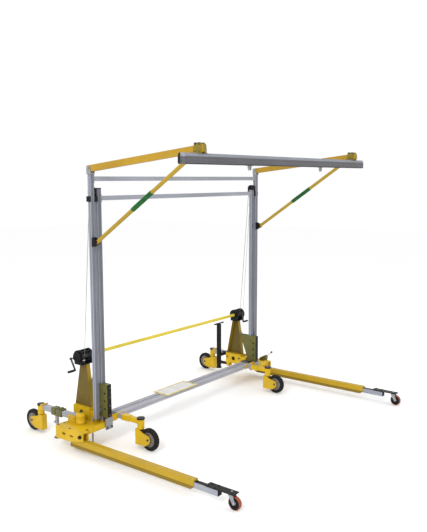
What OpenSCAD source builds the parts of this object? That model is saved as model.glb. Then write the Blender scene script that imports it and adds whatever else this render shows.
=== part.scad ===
// Wheeled two-mast overhead rail gantry with hand winches, outriggers and swivel casters.
// X runs along the overhead rail, the rail and outriggers reach towards -Y, Z is up.
// The origin is on the floor, under the middle of the whole crane. All sizes in mm.

/* [Overhead rail] */
// Length of the enclosed track rail
rail_length = 3656; // [3200:1:4900]
// Height of the rail section
rail_height = 102; // [80:1:140]
// Width of the rail section
rail_width = 88; // [76:1:120]
// Wall thickness of the rail section
rail_wall = 5; // [3:0.5:8]
// Width of the slot the trolley hangers run in
rail_slot = 24; // [18:1:32]
// Distance from the masts to the middle of the rail
rail_reach = 1505; // [1200:1:2000]
// Distance of each trolley from the middle of the rail
trolley_offset = 750; // [300:1:1200]

/* [Masts] */
// Distance between the two fixed mast columns
mast_spacing = 2950; // [2400:1:3800]
// Side of the square mast columns
column_size = 48; // [40:1:54]
// Wall thickness of the mast columns
column_wall = 4; // [3:0.5:6]
// Distance from a fixed column to its lifting column
column_pitch = 100; // [96:1:120]
// Height of the top of the fixed columns
fixed_top = 2894; // [2300:1:3400]
// Height the lifting columns stand above the fixed ones when lowered
lift_step = 159; // [150:1:260]
// Height of the crossbar section
crossbar_height = 50; // [36:1:70]

/* [Arms and braces] */
// Height of the arm section
arm_height = 70; // [56:1:84]
// Rise of the arm from the mast to its tip
arm_angle = 6.34; // [3:0.01:10]
// Height of the brace foot below the top of the lifting column
brace_drop = 728; // [500:1:950]
// Diameter of the brace tube
brace_d = 42; // [32:1:43]

/* [Base bar] */
// Side of the two square base bar sections
base_size = 60; // [50:1:70]
// Gap between the two base bar sections
base_gap = 26; // [20:1:40]
// Height of the middle of the base bar
base_z = 305; // [300:1:340]

/* [Outrigger legs] */
// Distance from a fixed column out to its leg
leg_offset = 353.5; // [320:0.5:420]
// Distance from the masts to the front end of the outer leg tube
leg_reach = 1647; // [1300:1:2000]
// Width of the outer leg tube
leg_width = 64; // [58:1:72]
// Distance from the masts to the leg caster axle
leg_caster_reach = 2108; // [2000:1:2500]
// Diameter of the leg caster wheel
leg_wheel_d = 132; // [120:1:134]

/* [Main casters] */
// Diameter of the main caster wheels
wheel_d = 254; // [228:1:260]
// Width of the main caster wheels
wheel_w = 50; // [40:1:54]
// Distance from a caster stem back to its wheel axle
caster_trail = 135; // [125:1:160]
// Distance from the masts back to the rear wheel axles
rear_reach = 997; // [960:1:1200]
// Distance from the masts forward to the front wheel axles
front_reach = 555; // [520:1:700]

/* [Winches] */
// Height of the winch drum axis
winch_z = 995; // [850:1:1200]
// Distance of the winch drum axis behind the masts
winch_back = 271; // [250:1:300]
// Diameter of the tie bar between the winches
tie_bar_d = 40; // [28:1:50]
// Radius of the winch crank
crank_radius = 140; // [100:1:180]

/* [Hidden] */
$fn = 48;
// Small seating gap between bolted pieces, and radial running gap of shafts in their bores
seat = 0.3;
run = 0.05;
// Overall front to back centring
front_edge = leg_caster_reach + leg_wheel_d / 2;
back_edge = rear_reach + wheel_d / 2;
mast_y = (front_edge - back_edge) / 2;
// Mast positions
fixed_x = mast_spacing / 2;
lift_x = fixed_x + column_pitch;
half = column_size / 2;
lift_top = fixed_top + lift_step;
lift_foot = 324;
cable_x = fixed_x + column_pitch / 2;
lower_bar_z = fixed_top - 100;
upper_bar_z = lift_top - crossbar_height / 2 - 23;
// Arms
arm_w = 50;
arm_z = lift_top + 61;
arm_pitch = tan(arm_angle);
arm_length = rail_reach + 75;
rail_top = arm_z + (rail_reach - rail_width / 2) * arm_pitch - arm_height / 2 / cos(arm_angle) - 2;
rail_bottom = rail_top - rail_height;
brace_foot_y = -half - 57;
brace_foot_z = lift_top - brace_drop;
brace_head_y = -(rail_reach - 133);
brace_head_z = arm_z - brace_head_y * arm_pitch - arm_height / 2 - 42;
brace_run = brace_foot_y - brace_head_y;
brace_rise = brace_head_z - brace_foot_z;
brace_length = sqrt(brace_run * brace_run + brace_rise * brace_rise);
brace_tilt = atan2(brace_run, brace_rise);
// Legs
leg_x = fixed_x + leg_offset;
leg_low = 65;
leg_high = 165;
inner_w = leg_width - 8.6;
inner_low = 85;
inner_high = 145;
leg_trail = 35;
leg_wheel_w = 38;
leg_stem_y = -(leg_caster_reach - leg_trail);
leg_plate_z = leg_wheel_d + 21;
// Deck and base
deck_low = 250;
deck_high = 262;
deck_in = fixed_x - 35;
deck_out = leg_x + leg_width / 2 + 13;
base_low = base_z - base_size / 2;
base_high = base_z + base_size / 2;
base_front = base_gap / 2 + base_size;
base_end = fixed_x - 45;
plate_x0 = -515;
plate_x1 = 80;
plate_y = 125;
shoe_low = 330;
shoe_high = 715;
// Main casters
rear_x = fixed_x + 195;
rear_stem_y = rear_reach - caster_trail;
front_x = fixed_x - 178;
front_stem_y = -(front_reach - caster_trail);
stem_d = 30;
socket_low = wheel_d - 28;
socket_high = 334;
tube_low = 290;
tube_high = 350;
// Winches, sheaves and cables
winch_x = fixed_x + 11;
post_top = winch_z - 90;
drum_r = 35;
cable_d = 6;
crank_y = winch_back + 50;
crank_z = winch_z - 15;
crank_lean = 29;
sheave_y = 40;
sheave_z = fixed_top - 26;
sheave_r = 40.5;
fall_y = sheave_y - sheave_r;
cable_from_y = winch_back - drum_r - cable_d / 2 - 0.6;
cable_from_z = winch_z + 5;
cable_to_y = sheave_y + sheave_r;
cable_span = sqrt(pow(cable_from_y - cable_to_y, 2) + pow(sheave_z - cable_from_z, 2));
cable_lean = atan2(cable_from_y - cable_to_y, sheave_z - cable_from_z);
anchor_z = 440;
guide_z = winch_z + 60;
guide_y = cable_from_y - (guide_z - cable_from_z) * tan(cable_lean);
// Stabiliser jacks
jack_y = 572;
prop_x = fixed_x + 15;
prop_y = 600;
screw_y = 70;

// A box given by its two opposite corners
module span(x0, x1, y0, y1, z0, z1) {
  translate([x0, y0, z0]) cube([x1 - x0, y1 - y0, z1 - z0]);
}

// A round bar along X
module bar_x(x0, x1, y, z, d) {
  translate([x0, y, z]) rotate([0, 90, 0]) cylinder(h = x1 - x0, d = d);
}

// A round bar along Y
module bar_y(x, y0, y1, z, d) {
  translate([x, y1, z]) rotate([90, 0, 0]) cylinder(h = y1 - y0, d = d);
}

// An upright round bar
module bar_z(x, y, z0, z1, d) {
  translate([x, y, z0]) cylinder(h = z1 - z0, d = d);
}

// A hexagon bolt head standing on top of z
module head_z(x, y, z, d = 18, h = 10) {
  translate([x, y, z]) cylinder(h = h, d = d, $fn = 6);
}

// A hexagon bolt head whose axis runs along X, from x0 to x0 + h
module head_x(x0, y, z, d = 18, h = 9) {
  translate([x0, y, z]) rotate([0, 90, 0]) cylinder(h = h, d = d, $fn = 6);
}

// A hexagon bolt head on a face towards -Y
module head_front(x, y, z, d = 18, h = 9) {
  translate([x, y, z]) rotate([90, 0, 0]) cylinder(h = h, d = d, $fn = 6);
}

// Extrudes a Y-Z outline along X
module slab_x(x0, x1, points) {
  translate([x0, 0, 0]) rotate([90, 0, 90]) linear_extrude(height = x1 - x0) polygon(points);
}

// Everything is drawn with the masts on y = 0, then moved to the centred origin
module placed() {
  translate([0, mast_y, 0]) children();
}

module right() {
  placed() children();
}

module left() {
  placed() mirror([1, 0, 0]) children();
}

module both() {
  right() children();
  left() children();
}

// Square hollow section with a shallow track on each face
module column_section() {
  difference() {
    square(column_size, center = true);
    square(column_size - 2 * column_wall, center = true);
    for (a = [0, 90, 180, 270]) {
      rotate(a) translate([half - 1, 0]) square([2, 9], center = true);
    }
  }
}

module base_section() {
  difference() {
    square(base_size, center = true);
    for (a = [0, 90, 180, 270]) {
      rotate(a) translate([base_size / 2 - 3, 0]) square([6, 10], center = true);
    }
    square(base_size / 2.6, center = true);
  }
}

module base_rails() {
  color([0.62, 0.64, 0.67]) placed() {
    for (s = [-1, 1]) {
      translate([-base_end, s * (base_gap + base_size) / 2, base_z]) {
        rotate([90, 0, 90]) linear_extrude(height = 2 * base_end) base_section();
      }
    }
  }
}

module centre_plate() {
  color([0.86, 0.8, 0.55]) placed() {
    difference() {
      span(plate_x0, plate_x1, -plate_y, plate_y, base_high + seat, base_high + 6);
      span(plate_x0 + 26, plate_x1 - 26, -plate_y + 26, plate_y - 26, base_high + 4.5, base_high + 7);
    }
    for (x = [plate_x0 + 13, plate_x1 - 13]) {
      for (y = [-52, 52]) {
        head_z(x, y, base_high + 6, 14, 6);
      }
    }
  }
}

module tie_bar() {
  color([0.88, 0.8, 0.25]) placed() {
    bar_x(-(winch_x - 64), winch_x - 64, winch_back, winch_z, tie_bar_d);
    for (s = [-1, 1]) {
      translate([s * (winch_x - 61 - seat - 2.5), winch_back, winch_z]) {
        rotate([0, 90, 0]) cylinder(h = 5, d = tie_bar_d + 26, center = true);
      }
    }
  }
}

// Deck, leg socket, mast foot and base bar sleeve of one tower
module tower_base() {
  skirt_in = leg_x - leg_width / 2 - seat;
  skirt_out = leg_x + leg_width / 2 + seat;
  skirt = [[-100, 168], [112, 122], [350, 116], [350, deck_high], [-100, deck_high]];
  difference() {
    union() {
      span(deck_in, deck_out, -60, 345, deck_low, deck_high);
      span(fixed_x - 50, fixed_x + 75, 345, 425, deck_low, deck_high);
    }
    bar_z(lift_x, screw_y, deck_low - 1, deck_high + 1, 20 + 2 * run);
  }
  // leg socket skirts with their two slots
  difference() {
    slab_x(skirt_out, skirt_out + 12, skirt);
    for (y = [90, 215]) {
      hull() {
        bar_x(skirt_out - 1, skirt_out + 13, y - 16, 190, 26);
        bar_x(skirt_out - 1, skirt_out + 13, y + 16, 190, 26);
      }
    }
    bar_x(skirt_out - 1, skirt_out + 13, -64, 215, 12 + 2 * run);
  }
  slab_x(skirt_in - 12, skirt_in, skirt);
  span(skirt_in, skirt_out, 338, 350, 116, deck_high);
  span(skirt_in, skirt_out, -100, -60, deck_low, deck_high);
  span(skirt_in, skirt_out, -20, 60, leg_high + seat, deck_low);
  span(skirt_in, skirt_out, 250, 310, leg_high + seat, deck_low);
  // ribs below the deck
  span(deck_in, skirt_in - 12, -30, -14, 196, deck_low);
  span(deck_in, skirt_in - 12, 236, 252, 196, deck_low);
  span(fixed_x - 25, fixed_x + 55, 385, 425, 190, deck_low);
  // mast foot and front link
  span(fixed_x - half, fixed_x + half, -half, half, deck_high, 280 - seat);
  span(fixed_x + 60, leg_x - 60, -92, -60, 225, 285);
  // sleeve round the base bar ends
  span(fixed_x - 145, deck_in + 2, -base_front - 9, base_front + 9, deck_high, base_low - seat);
  span(fixed_x - 145, deck_in + 2, -base_front - 9, base_front + 9, base_high + seat, base_high + 9);
  for (s = [-1, 1]) {
    translate([0, s * (base_front + 4.65), 0]) {
      span(fixed_x - 145, deck_in + 2, -4.35, 4.35, deck_high, base_high + 9);
    }
  }
  span(base_end + seat, deck_in + 2, -base_front, base_front, base_low - 2, base_high + 2);
  // box under the winch post and its link to the mast
  difference() {
    span(fixed_x - 45, fixed_x + 70, 150, 425, deck_high, 400 - seat);
    span(fixed_x - 37, fixed_x + 62, 158, 417, deck_high - 1, 392 - seat);
    bar_x(fixed_x - 46, fixed_x + 71, 287, 330, 60);
  }
  difference() {
    span(fixed_x - 40, fixed_x + 60, 62, 151, deck_high, 372);
    span(fixed_x - 32, fixed_x + 52, 70, 149, deck_high - 1, 364);
  }
  for (y = [180, 395]) {
    head_x(fixed_x - 54, y, 345, 26, 9);
  }
  // saddle under the rear tube
  span(rear_x - 30, rear_x + 30, 200, 345, deck_high, tube_low - seat);
  // plates either side of the rear tube
  for (s = [-1, 1]) {
    translate([rear_x + s * (34.3), 0, 0]) span(-4, 4, 215, 330, deck_high, tube_high - 5);
  }
  for (y = [245, 300]) {
    head_x(rear_x + 38.3, y, 320, 20, 9);
  }
  // wear block and nut of the levelling screw
  difference() {
    translate([lift_x, screw_y, deck_high]) cylinder(h = 18, d = 40, $fn = 6);
    bar_z(lift_x, screw_y, deck_high - 1, deck_high + 19, 20 + 2 * run);
  }
}

module tower_base_l() {
  color([0.95, 0.74, 0.12]) left() tower_base();
}

module tower_base_r() {
  color([0.95, 0.74, 0.12]) right() tower_base();
}

// Folded gusset round the foot of a fixed column, and the leg latch bracket
module mast_shoe() {
  inner = half + seat;
  difference() {
    for (s = [-1, 1]) {
      slab_x(
        fixed_x + s * (inner + 3.5) - 3.5,
        fixed_x + s * (inner + 3.5) + 3.5,
        [[-100, shoe_low], [20, shoe_low], [172, shoe_high], [-100, shoe_high]]
      );
    }
    for (z = [430, 520, 610]) {
      bar_x(fixed_x - 60, fixed_x + 60, -64, z, 26);
    }
  }
  span(fixed_x - inner - 7, fixed_x + inner + 7, -108, -100, shoe_low - 40, shoe_high);
  span(fixed_x - inner, fixed_x + inner, -48, -inner, shoe_low, shoe_low + 60);
  span(fixed_x - inner, fixed_x + inner, -48, -inner, shoe_high - 60, shoe_high);
  span(fixed_x - inner, fixed_x + inner, -100, -48, shoe_low, shoe_low + 12);
  span(fixed_x - inner, fixed_x + inner, -100, -48, shoe_high - 12, shoe_high);
  slab_x(
    fixed_x - inner, fixed_x + inner,
    [[inner, shoe_low + 28], [inner + 7, shoe_low + 28], [172, shoe_high], [165, shoe_high]]
  );
  for (z = [360, 470, 570, 680]) {
    head_front(fixed_x, -108, z, 22, 10);
  }
  for (z = [400, 640]) {
    head_x(fixed_x - inner - 17, -6, z, 20, 10);
    head_x(fixed_x + inner + 7, -6, z, 20, 7);
  }
  span(fixed_x - 45, fixed_x + 60, -108, -100, 200, shoe_low);
  span(fixed_x - 45, fixed_x + 60, -100, -60.3, 236, deck_low);
  for (x = [fixed_x - 28, fixed_x + 42]) {
    head_front(x, -108, 226, 24, 12);
  }
}

module latch_bracket() {
  difference() {
    slab_x(
      leg_x - 24, leg_x + 24,
      [[-46, deck_high + seat], [70, deck_high + seat], [60, 300], [-30, 350], [-58, 330]]
    );
    translate([leg_x, 0, 294]) rotate([50, 0, 0]) translate([0, 0, -120]) {
      cylinder(h = 300, d = 8 + 2 * run);
    }
  }
}

module mast_shoes() {
  color([0.42, 0.46, 0.26]) {
    both() mast_shoe();
    right() latch_bracket();
  }
}

module fixed_masts() {
  color([0.66, 0.67, 0.7]) both() {
    translate([fixed_x, 0, 280]) linear_extrude(height = fixed_top - 280) column_section();
  }
}

// Crossbar with a bolted flange at each end, reaching between two column faces
module crossbar(reach, z) {
  span(-reach + 6, reach - 6, -15, 15, z - crossbar_height / 2, z + crossbar_height / 2);
  for (s = [-1, 1]) {
    translate([s * (reach - 3), 0, z]) cube([6, column_size, crossbar_height + 44], center = true);
    for (dz = [-1, 1]) {
      for (y = [-11, 11]) {
        translate([s * (reach - 10), y, z + dz * (crossbar_height / 2 + 12)]) {
          rotate([0, 90, 0]) cylinder(h = 9, d = 15, center = true, $fn = 6);
        }
      }
    }
  }
}

module lower_crossbar() {
  color([0.7, 0.71, 0.73]) placed() crossbar(fixed_x - half - seat, lower_bar_z);
}

module upper_crossbar() {
  color([0.7, 0.71, 0.73]) placed() crossbar(lift_x - half - seat, upper_bar_z);
}

// Guide at the top of a fixed column, open to the front, with the sheave cheeks on it
module guide_block() {
  face = fixed_x + half + seat;
  slide = half + 0.5;
  low = fixed_top - 136;
  high = fixed_top - 76;
  difference() {
    span(face, lift_x - slide, -20, half + 14, low, high);
    bar_z(cable_x, fall_y, low - 1, high + 1, 14);
    bar_z(cable_x, cable_to_y, low - 1, high + 1, 18);
  }
  span(lift_x - slide, lift_x + slide, slide, half + 14, low, high);
  span(lift_x + slide, lift_x + slide + 11, -20, half + 14, low, high);
  for (x = [cable_x - 17, cable_x + 12]) {
    slab_x(x, x + 5, [[-14, high], [90, high], [90, fixed_top - 8], [60, fixed_top + 18],
      [14, fixed_top + 18], [-14, fixed_top - 8]]);
  }
  bar_x(cable_x - 20, cable_x + 20, sheave_y, sheave_z, 12);
  span(face, cable_x - 12, half + 2, 90, high - 12, high);
  span(cable_x - 12, cable_x + 12, half + 14, 60, high - 12, high);
  span(cable_x + 12, cable_x + 17, half + 2, 90, high - 12, high);
  span(fixed_x - half, fixed_x + half, -half, half, fixed_top + seat, fixed_top + 12);
  span(fixed_x + half, cable_x - 12, -14, half, fixed_top + seat, fixed_top + 12);
}

module guide_blocks() {
  color([0.1, 0.1, 0.11]) both() guide_block();
}

// Folded channel with its web outside, open toward the other tower
module winch_post() {
  difference() {
    slab_x(
      winch_x - 28, winch_x + 28,
      [[152, 400], [423, 400], [winch_back + 50, post_top], [winch_back - 50, post_top]]
    );
    slab_x(
      winch_x - 29, winch_x + 22,
      [[160, 406], [415, 406], [winch_back + 43, post_top - 6], [winch_back - 43, post_top - 6]]
    );
  }
}

module winch_posts() {
  color([0.72, 0.56, 0.16]) both() winch_post();
}

// Side outline of a winch cheek: a round head on a foot
module cheek(x0, x1) {
  bar_x(x0, x1, winch_back, winch_z, 156);
  span(x0, x1, winch_back - 62, winch_back + 62, post_top + seat, winch_z);
}

module winch_frame() {
  difference() {
    union() {
      cheek(winch_x - 61, winch_x - 53);
      cheek(winch_x + 96, winch_x + 104);
      span(winch_x - 61, winch_x + 104, winch_back - 62, winch_back + 62, post_top + seat,
        post_top + 8);
      bar_x(winch_x + 104, winch_x + 122, winch_back, winch_z, 128);
      span(winch_x + 104, winch_x + 116, winch_back, crank_y + 22, crank_z - 22, crank_z + 22);
      bar_x(winch_x - 53, winch_x + 96, winch_back + 40, winch_z - 62, 12);
      span(winch_x - 54, winch_x + 97, guide_y - 9, guide_y + 14, guide_z - 2, guide_z + 2);
    }
    bar_z(cable_x, guide_y, guide_z - 3, guide_z + 3, cable_d + 0.8);
    bar_x(winch_x - 70, winch_x + 125, winch_back, winch_z, 20 + 2 * run);
    bar_x(winch_x + 90, winch_x + 125, crank_y, crank_z, 14 + 2 * run);
  }
  for (a = [30 : 60 : 330]) {
    head_x(winch_x + 122, winch_back - 8 + 50 * cos(a), winch_z + 50 * sin(a), 9, 4);
  }
  for (y = [-40, 40]) {
    head_z(winch_x - 6, winch_back + y, post_top + 8, 16, 9);
  }
}

module winch_frame_l() {
  color([0.1, 0.1, 0.1]) left() winch_frame();
}

module winch_frame_r() {
  color([0.1, 0.1, 0.1]) right() winch_frame();
}

// Drum core, flanges, laid cable turns and the through axle
module winch_drum() {
  bar_x(winch_x - 61, winch_x + 118, winch_back, winch_z, 20);
  bar_x(winch_x - 50, winch_x + 93, winch_back, winch_z, 2 * drum_r);
  bar_x(winch_x - 50, winch_x - 45, winch_back, winch_z, 124);
  bar_x(winch_x + 88, winch_x + 93, winch_back, winch_z, 124);
  for (i = [0 : 6]) {
    translate([cable_x + 14 + i * 6.2, winch_back, winch_z]) rotate([0, 90, 0]) {
      rotate_extrude() translate([drum_r + cable_d / 2 - 0.4, 0]) circle(d = cable_d, $fn = 16);
    }
  }
}

module winch_drum_l() {
  color([0.45, 0.46, 0.48]) left() winch_drum();
}

module winch_drum_r() {
  color([0.45, 0.46, 0.48]) right() winch_drum();
}

// Crank shaft, flat arm and grip
module winch_crank() {
  bar_x(winch_x + 96, winch_x + 172, crank_y, crank_z, 14);
  translate([winch_x + 160, crank_y, crank_z]) rotate([-crank_lean, 0, 0]) {
    span(0, 8, -12, 12, -crank_radius, 0);
    bar_x(0, 8, 0, -crank_radius, 24);
    bar_x(-4, 14, 0, 0, 30);
    bar_x(8, 24, 0, -crank_radius, 14);
    bar_x(24, 104, 0, -crank_radius, 28);
    bar_x(104, 108, 0, -crank_radius, 20);
  }
}

module winch_crank_l() {
  color([0.25, 0.26, 0.27]) left() winch_crank();
}

module winch_crank_r() {
  color([0.25, 0.26, 0.27]) right() winch_crank();
}

module sheave() {
  translate([cable_x, sheave_y, sheave_z]) rotate([0, 90, 0]) {
    rotate_extrude() {
      polygon([[6 + run, -8], [43, -8], [43, -5.5], [37, -3.6], [37, 3.6], [43, 5.5], [43, 8],
        [6 + run, 8]]);
    }
  }
}

module sheave_l() {
  color([0.3, 0.3, 0.32]) left() sheave();
}

module sheave_r() {
  color([0.3, 0.3, 0.32]) right() sheave();
}

// Winch cable from the drum up to the sheave and over it, and the hook wire behind the mast
module winch_cable() {
  translate([cable_x, cable_from_y, cable_from_z]) rotate([cable_lean, 0, 0]) {
    cylinder(h = cable_span - 0.6, d = cable_d, $fn = 16);
  }
  translate([cable_x, sheave_y, sheave_z]) rotate([0, 90, 0]) rotate(90) {
    rotate_extrude(angle = 180) translate([sheave_r, 0]) circle(d = cable_d, $fn = 16);
  }
  translate([fixed_x, 165, shoe_high + 12]) rotate([atan2(165 - half - 8, 1900), 0, 0]) {
    cylinder(h = 1900, d = 4, $fn = 14);
  }
  span(fixed_x - 7, fixed_x + 7, 155, 172, shoe_high + seat, shoe_high + 30);
  span(fixed_x - 7, fixed_x + 7, half + seat, half + 16, shoe_high + 1895, shoe_high + 1930);
}

module winch_cables() {
  color([0.55, 0.56, 0.58]) both() winch_cable();
}

module fall_cable() {
  bar_z(cable_x, fall_y, anchor_z + seat, sheave_z - 2, cable_d);
}

module fall_cable_l() {
  color([0.55, 0.56, 0.58]) left() fall_cable();
}

module fall_cable_r() {
  color([0.55, 0.56, 0.58]) right() fall_cable();
}

// Lifting column with the cable anchor on its inner face
module lift_mast() {
  translate([lift_x, 0, lift_foot]) linear_extrude(height = lift_top - lift_foot) column_section();
  span(cable_x - 10, lift_x - half + 0.5, -14, 14, anchor_z - 40, anchor_z);
}

module lift_mast_l() {
  color([0.6, 0.61, 0.64]) left() lift_mast();
}

module lift_mast_r() {
  color([0.6, 0.61, 0.64]) right() lift_mast();
}

// Pivot lugs on top of a lifting column and the brace bracket on its front
module mast_head() {
  cheek_in = arm_w / 2 + seat;
  span(lift_x - cheek_in - 8, lift_x + cheek_in + 8, -30, 30, lift_top + seat, lift_top + 13);
  for (s = [-1, 1]) {
    slab_x(
      lift_x + s * (cheek_in + 4) - 4, lift_x + s * (cheek_in + 4) + 4,
      [[-30, lift_top + seat], [30, lift_top + seat], [30, arm_z + 8], [16, arm_z + 28],
        [-16, arm_z + 28], [-30, arm_z + 8]]
    );
  }
  head_x(lift_x - cheek_in - 18, 0, arm_z, 26, 10);
  head_x(lift_x + cheek_in + 8, 0, arm_z, 26, 10);
  span(lift_x - 31, lift_x + 31, -half - 11, -half - seat, brace_foot_z - 52, brace_foot_z + 48);
  for (s = [-1, 1]) {
    slab_x(
      lift_x + s * (brace_d / 2 + 4.3) - 4, lift_x + s * (brace_d / 2 + 4.3) + 4,
      [[-half - 10, brace_foot_z - 48], [brace_foot_y - 12, brace_foot_z - 20],
        [brace_foot_y - 22, brace_foot_z + 4], [brace_foot_y - 8, brace_foot_z + 24],
        [-half - 10, brace_foot_z + 44]]
    );
  }
  head_x(lift_x - brace_d / 2 - 17, brace_foot_y, brace_foot_z, 22, 9);
  head_x(lift_x + brace_d / 2 + 8, brace_foot_y, brace_foot_z, 22, 9);
}

module mast_heads() {
  color([0.12, 0.12, 0.13]) both() mast_head();
}

// Cantilever arm with the lugs that take the top of the brace
module arm() {
  translate([lift_x, 0, arm_z]) rotate([-arm_angle, 0, 0]) {
    difference() {
      span(-arm_w / 2, arm_w / 2, -arm_length, 34, -arm_height / 2, arm_height / 2);
      span(-arm_w / 2 + 5, arm_w / 2 - 5, -arm_length + 6, 35, 5 - arm_height / 2,
        arm_height / 2 - 5);
    }
  }
  for (s = [-1, 1]) {
    slab_x(
      lift_x + s * (brace_d / 2 + 3.8) - 3.5, lift_x + s * (brace_d / 2 + 3.8) + 3.5,
      [[brace_head_y - 22, brace_head_z - 16], [brace_head_y + 22, brace_head_z - 16],
        [brace_head_y + 46, brace_head_z + 39], [brace_head_y - 32, brace_head_z + 48]]
    );
  }
  head_x(lift_x - brace_d / 2 - 16, brace_head_y, brace_head_z, 22, 9);
  head_x(lift_x + brace_d / 2 + 7, brace_head_y, brace_head_z, 22, 9);
}

module arm_l() {
  color([0.75, 0.6, 0.18]) left() arm();
}

module arm_r() {
  color([0.75, 0.6, 0.18]) right() arm();
}

// Places children at the brace foot with Z along the brace
module along_brace() {
  translate([lift_x, brace_foot_y, brace_foot_z]) rotate([brace_tilt, 0, 0]) children();
}

module brace() {
  along_brace() translate([0, 0, -16]) cylinder(h = brace_length + 32, d = brace_d);
}

module braces() {
  color([0.85, 0.68, 0.18]) both() brace();
}

module brace_sleeve() {
  along_brace() translate([0, 0, brace_length * 0.42]) difference() {
    cylinder(h = brace_length * 0.21, d = brace_d + 8);
    translate([0, 0, -1]) cylinder(h = brace_length * 0.21 + 2, d = brace_d + 0.6);
  }
}

module brace_sleeves() {
  color([0.12, 0.45, 0.26]) both() brace_sleeve();
}

// Half outline of the rail, from the slot round to the top
module rail_outline() {
  w = rail_width / 2;
  polygon([[-w, 8], [-w + 6, 0], [w - 6, 0], [w, 8], [w, rail_height - 30],
    [w - 12, rail_height], [12 - w, rail_height], [-w, rail_height - 30]]);
}

module rail() {
  w = rail_width / 2;
  color([0.42, 0.42, 0.44]) placed() {
    translate([-rail_length / 2, -rail_reach, rail_bottom]) rotate([90, 0, 90]) {
      linear_extrude(height = rail_length) difference() {
        rail_outline();
        polygon([[-w + rail_wall, 9], [-w + rail_wall + 4, rail_wall],
          [w - rail_wall - 4, rail_wall], [w - rail_wall, 9], [w - rail_wall, rail_height - 31],
          [w - rail_wall - 11, rail_height - rail_wall], [rail_wall + 11 - w, rail_height - rail_wall],
          [rail_wall - w, rail_height - 31]]);
        translate([-rail_slot / 2, -1]) square([rail_slot, rail_wall + 3]);
        for (z = [22, 52]) {
          translate([-w - 1, z]) square([2.5, 3]);
          translate([w - 1.5, z]) square([2.5, 3]);
        }
      }
    }
  }
}

// Bolted hanger between arm and rail, and the closed rail end
module rail_fitting() {
  inner = arm_w / 2 + seat;
  top = arm_z + rail_reach * arm_pitch + arm_height / 2 + 22;
  for (s = [-1, 1]) {
    slab_x(
      lift_x + s * (inner + 4) - 4, lift_x + s * (inner + 4) + 4,
      [[-rail_reach - 52, rail_top + seat], [-rail_reach + 52, rail_top + seat],
        [-rail_reach + 40, top], [-rail_reach - 40, top]]
    );
    translate([lift_x + s * (inner + 25), 0, 0]) {
      span(-20, 20, -rail_reach - 40, -rail_reach + 40, rail_top + seat, rail_top + 9);
      for (y = [-22, 22]) {
        head_z(s * 4, -rail_reach + y, rail_top + 9, 18, 11);
      }
    }
  }
  for (y = [-24, 24]) {
    bar_x(lift_x - inner - 14, lift_x + inner + 14, -rail_reach + y, top - 9, 12);
    head_x(lift_x - inner - 18, -rail_reach + y, top - 9, 20, 10);
    head_x(lift_x + inner + 8, -rail_reach + y, top - 9, 20, 10);
  }
  translate([rail_length / 2 + seat, -rail_reach, rail_bottom]) rotate([90, 0, 90]) {
    linear_extrude(height = 9) rail_outline();
  }
  head_x(rail_length / 2 + 9, -rail_reach, rail_bottom + 30, 16, 7);
  head_x(rail_length / 2 + 9, -rail_reach, rail_bottom + 76, 16, 7);
}

module rail_fittings() {
  color([0.14, 0.14, 0.15]) both() rail_fitting();
}

// Trolley inside the rail with its anchor eye below the slot
module trolley() {
  floor_z = rail_bottom + rail_wall;
  y = -rail_reach;
  difference() {
    union() {
      span(trolley_offset - 62, trolley_offset + 62, y - 8, y + 8, floor_z - 9, floor_z + 44);
      translate([trolley_offset, y + 8, floor_z]) rotate([90, 0, 0]) linear_extrude(height = 16) {
        polygon([[-26, 4], [26, 4], [26, -30], [14, -56], [-14, -56], [-26, -30]]);
      }
    }
    bar_y(trolley_offset, y - 9, y + 9, floor_z - 34, 24);
  }
  for (x = [-40, 40]) {
    for (s = [-1, 1]) {
      translate([0, s * 22, 0]) {
        bar_y(trolley_offset + x, y - 9, y + 9, floor_z + 20.3, 40);
      }
    }
    bar_y(trolley_offset + x, y - 14, y + 14, floor_z + 20.3, 12);
  }
}

module trolley_l() {
  color([0.5, 0.5, 0.52]) left() trolley();
}

module trolley_r() {
  color([0.5, 0.5, 0.52]) right() trolley();
}

// Rear tubes of both towers
module rear_tubes() {
  color([0.62, 0.63, 0.66]) both() {
    difference() {
      span(rear_x - 30, rear_x + 30, 160, rear_stem_y - 68, tube_low, tube_high);
      span(rear_x - 25, rear_x + 25, 159, rear_stem_y - 67, tube_low + 5, tube_high - 5);
    }
  }
}

// Upright socket for a caster stem with a flat cap
module socket(x, y) {
  difference() {
    union() {
      bar_z(x, y, socket_low, socket_high, 80);
      bar_z(x, y, socket_high, socket_high + 16, 92);
    }
    bar_z(x, y, socket_low - 1, socket_high + 1, stem_d + 2 * run);
  }
}

module caster_socket_pair() {
  socket(rear_x, rear_stem_y);
  difference() {
    span(rear_x - 35, rear_x + 35, rear_stem_y - 67.7, rear_stem_y - 20, 284, 356);
    bar_z(rear_x, rear_stem_y, 200, 340, 60);
    bar_z(rear_x, rear_stem_y, 333.5, 360, 90);
  }
  span(rear_x - 44, rear_x + 44, rear_stem_y - 78, rear_stem_y - 67.7, 276, tube_low - seat);
  span(rear_x - 44, rear_x + 44, rear_stem_y - 78, rear_stem_y - 67.7, tube_high + seat, 364);
  socket(front_x, front_stem_y);
  difference() {
    span(front_x - 27, front_x + 27, front_stem_y + 20, -base_front - 11, 279, 331);
    bar_z(front_x, front_stem_y, 200, 340, 60);
  }
  span(front_x - 32, front_x + 32, -260, -140, 274, 336);
  span(front_x - 70, front_x + 31, -base_front - 11, -base_front - seat, 274, 336);
  for (x = [front_x - 56, front_x - 40]) {
    for (z = [286, 324]) {
      head_front(x, -base_front - 11, z, 12, 7);
    }
  }
}

module caster_sockets() {
  color([0.93, 0.74, 0.14]) both() caster_socket_pair();
}

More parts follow.
